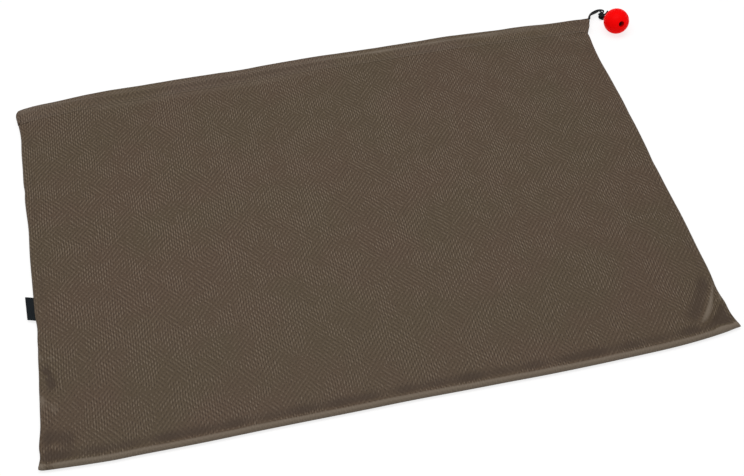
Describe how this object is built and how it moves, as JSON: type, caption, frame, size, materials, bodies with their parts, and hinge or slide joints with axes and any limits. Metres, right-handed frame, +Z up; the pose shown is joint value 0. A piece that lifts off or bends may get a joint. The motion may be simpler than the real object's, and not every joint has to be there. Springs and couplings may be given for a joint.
{
  "type": "carp sack",
  "caption": "Flat mesh-cloth fish sack with rolled seams, a drawcord in mouth tunnels and a red ball float tied to the cord's ends.",
  "frame": {"origin": "on the surface that the sack lies on, under the middle of the sack's own box, its free cord and float left out", "axes": "+X along the mouth towards the end where the cord leaves, +Y from the closed bottom to the mouth, +Z up"},
  "size_m": [1.0631, 0.6854, 0.044],
  "materials": {
    "mesh_cloth": "matte",
    "tunnel_cloth": "matte",
    "sewing_thread": "matte",
    "label_tape": "satin",
    "black_cord": "satin",
    "red_float": "satin"
  },
  "bodies": {
    "sack": {"front_panel": "mesh_cloth", "back_panel": "mesh_cloth", "left_side_seam": "mesh_cloth", "right_side_seam": "mesh_cloth", "bottom_seam": "mesh_cloth", "left_seam_allowance": "mesh_cloth", "right_seam_allowance": "mesh_cloth", "bottom_seam_allowance": "mesh_cloth", "left_edging_thread": "sewing_thread", "right_edging_thread": "sewing_thread", "bottom_edging_thread": "sewing_thread", "front_cord_tunnel": "tunnel_cloth", "back_cord_tunnel": "tunnel_cloth", "left_tunnel_corner": "tunnel_cloth", "front_tunnel_thread": "sewing_thread", "back_tunnel_thread": "sewing_thread", "exit_bar_tack": "sewing_thread"},
    "label": {"side_label": "label_tape"},
    "drawcord": {"drawcord_loop": "black_cord", "front_cord_tail": "black_cord", "back_cord_tail": "black_cord", "drawcord_knot": "black_cord", "knot_free_end": "black_cord", "float_cord": "black_cord", "stopper_knot": "black_cord"},
    "float": {"float_ball": "red_float"}
  },
  "joints": [
    {"name": "cord_pull", "type": "slide", "parent": "sack", "child": "drawcord", "axis": [1, 0, 0], "range_m": [0, 0.5], "deforming": ["front_cord_tunnel", "back_cord_tunnel"]},
    {"name": "float_spin", "type": "hinge", "parent": "drawcord", "child": "float", "pos_m": [0.5409, 0.2942, 0.022], "axis": [0.031, -0.8904, 0.4542], "continuous": true},
    {"name": "label_flap", "type": "hinge", "parent": "sack", "child": "label", "pos_m": [-0.49028, -0.0715, 0.00505], "axis": [0, 1, 0], "range_deg": [0, 95]}
  ]
}
